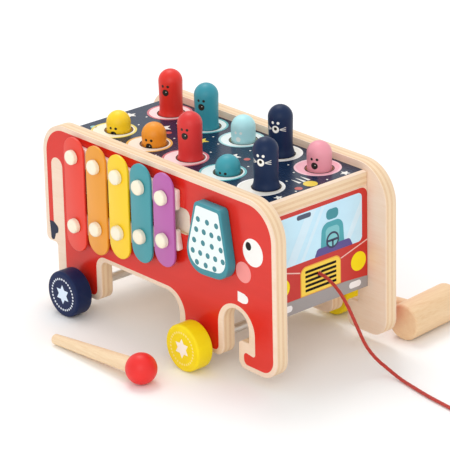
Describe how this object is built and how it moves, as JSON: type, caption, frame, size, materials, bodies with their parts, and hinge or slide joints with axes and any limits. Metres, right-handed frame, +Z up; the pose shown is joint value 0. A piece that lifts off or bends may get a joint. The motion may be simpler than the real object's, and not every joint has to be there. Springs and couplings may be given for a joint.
{
  "type": "wooden pull toy",
  "caption": "Wooden elephant-bus pull toy: moles to strike slide in its back, chime bars on one side, rolling wheels, a pull cord, loose mallets and a beater.",
  "frame": {"origin": "on the floor, under the middle of the toy's length and width", "axes": "+X to the front (trunk and cord), +Y to the toy's left side, +Z up"},
  "size_m": [0.3775, 0.2249, 0.1555],
  "materials": {
    "panel_wood": "satin, printed red on the outer faces",
    "board_wood": "satin",
    "mole_board_print": "matt printed wood",
    "front_print": "matt printed wood",
    "felt_grey": "felt",
    "paint_yellow": "painted, satin",
    "paint_orange": "painted, satin",
    "paint_red": "painted, satin",
    "paint_teal": "painted, satin",
    "paint_navy": "painted, satin",
    "paint_mint": "painted, satin",
    "paint_pink": "painted, satin",
    "rail_wood": "painted pale, matt",
    "metal_red": "enamelled steel",
    "metal_orange": "enamelled steel",
    "metal_yellow": "enamelled steel",
    "metal_teal": "enamelled steel",
    "metal_purple": "enamelled steel",
    "cap_cream": "gloss",
    "axle_steel": "drawn steel rod",
    "cord_red": "braided cord",
    "mallet_wood": "turned and sanded"
  },
  "bodies": {
    "toy": {"side_panel_right": "panel_wood", "side_panel_left": "panel_wood", "mole_board": "mole_board_print", "guide_board": "board_wood", "grip_sheet": "felt_grey", "base_board": "board_wood", "front_panel": "front_print", "rear_panel": "board_wood", "ear_right": "paint_teal", "ear_left": "paint_teal", "rail_upper": "rail_wood", "rail_lower": "rail_wood", "bar_red": "metal_red", "bar_orange": "metal_orange", "bar_yellow": "metal_yellow", "bar_teal": "metal_teal", "bar_purple": "metal_purple", "screw_red_upper": "cap_cream", "screw_red_lower": "cap_cream", "screw_orange_upper": "cap_cream", "screw_orange_lower": "cap_cream", "screw_yellow_upper": "cap_cream", "screw_yellow_lower": "cap_cream", "screw_teal_upper": "cap_cream", "screw_teal_lower": "cap_cream", "screw_purple_upper": "cap_cream", "screw_purple_lower": "cap_cream", "cord_knot": "cord_red", "cord_run": "cord_red", "cord_coil": "cord_red", "cord_end_knot": "cord_red"},
    "mole_right_yellow": {"mole_right_yellow": "paint_yellow"},
    "mole_right_orange": {"mole_right_orange": "paint_orange"},
    "mole_right_red": {"mole_right_red": "paint_red"},
    "mole_right_teal": {"mole_right_teal": "paint_teal"},
    "mole_right_navy": {"mole_right_navy": "paint_navy"},
    "mole_left_red": {"mole_left_red": "paint_red"},
    "mole_left_teal": {"mole_left_teal": "paint_teal"},
    "mole_left_mint": {"mole_left_mint": "paint_mint"},
    "mole_left_navy": {"mole_left_navy": "paint_navy"},
    "mole_left_pink": {"mole_left_pink": "paint_pink"},
    "wheelset_rear": {"axle_rear": "axle_steel", "wheel_rear_right": "paint_navy", "wheel_rear_left": "paint_navy"},
    "wheelset_front": {"axle_front": "axle_steel", "wheel_front_right": "paint_yellow", "wheel_front_left": "paint_yellow"},
    "mallet_a": {"mallet_a_head": "mallet_wood", "mallet_a_handle": "mallet_wood"},
    "mallet_b": {"mallet_b_head": "mallet_wood", "mallet_b_handle": "mallet_wood"},
    "beater": {"beater_ball": "paint_red", "beater_stick": "mallet_wood"}
  },
  "joints": [
    {"name": "mole_right_yellow_slide", "type": "slide", "parent": "toy", "child": "mole_right_yellow", "axis": [0, 0, 1], "range_m": [-0.0032, 0.0208]},
    {"name": "mole_right_orange_slide", "type": "slide", "parent": "toy", "child": "mole_right_orange", "axis": [0, 0, 1], "range_m": [-0.0044, 0.0196]},
    {"name": "mole_right_red_slide", "type": "slide", "parent": "toy", "child": "mole_right_red", "axis": [0, 0, 1], "range_m": [-0.0213, 0.0027]},
    {"name": "mole_right_teal_slide", "type": "slide", "parent": "toy", "child": "mole_right_teal", "axis": [0, 0, 1], "range_m": [-0.0013, 0.0227]},
    {"name": "mole_right_navy_slide", "type": "slide", "parent": "toy", "child": "mole_right_navy", "axis": [0, 0, 1], "range_m": [-0.023, 0.001]},
    {"name": "mole_left_red_slide", "type": "slide", "parent": "toy", "child": "mole_left_red", "axis": [0, 0, 1], "range_m": [-0.021, 0.003]},
    {"name": "mole_left_teal_slide", "type": "slide", "parent": "toy", "child": "mole_left_teal", "axis": [0, 0, 1], "range_m": [-0.0201, 0.0039]},
    {"name": "mole_left_mint_slide", "type": "slide", "parent": "toy", "child": "mole_left_mint", "axis": [0, 0, 1], "range_m": [-0.007, 0.017]},
    {"name": "mole_left_navy_slide", "type": "slide", "parent": "toy", "child": "mole_left_navy", "axis": [0, 0, 1], "range_m": [-0.0236, 0.0004]},
    {"name": "mole_left_pink_slide", "type": "slide", "parent": "toy", "child": "mole_left_pink", "axis": [0, 0, 1], "range_m": [-0.0083, 0.0157]},
    {"name": "wheelset_rear_turn", "type": "hinge", "parent": "toy", "child": "wheelset_rear", "pos_m": [-0.0761, 0, 0.016], "axis": [0, 1, 0], "continuous": true},
    {"name": "wheelset_front_turn", "type": "hinge", "parent": "toy", "child": "wheelset_front", "pos_m": [0.0458, 0, 0.016], "axis": [0, 1, 0], "continuous": true},
    {"name": "mallet_a_lift", "type": "slide", "parent": "toy", "child": "mallet_a", "axis": [0, 0, 1], "range_m": [0, 0.12]},
    {"name": "mallet_b_lift", "type": "slide", "parent": "toy", "child": "mallet_b", "axis": [0, 0, 1], "range_m": [0, 0.12]},
    {"name": "beater_lift", "type": "slide", "parent": "toy", "child": "beater", "axis": [0, 0, 1], "range_m": [0, 0.12]}
  ]
}
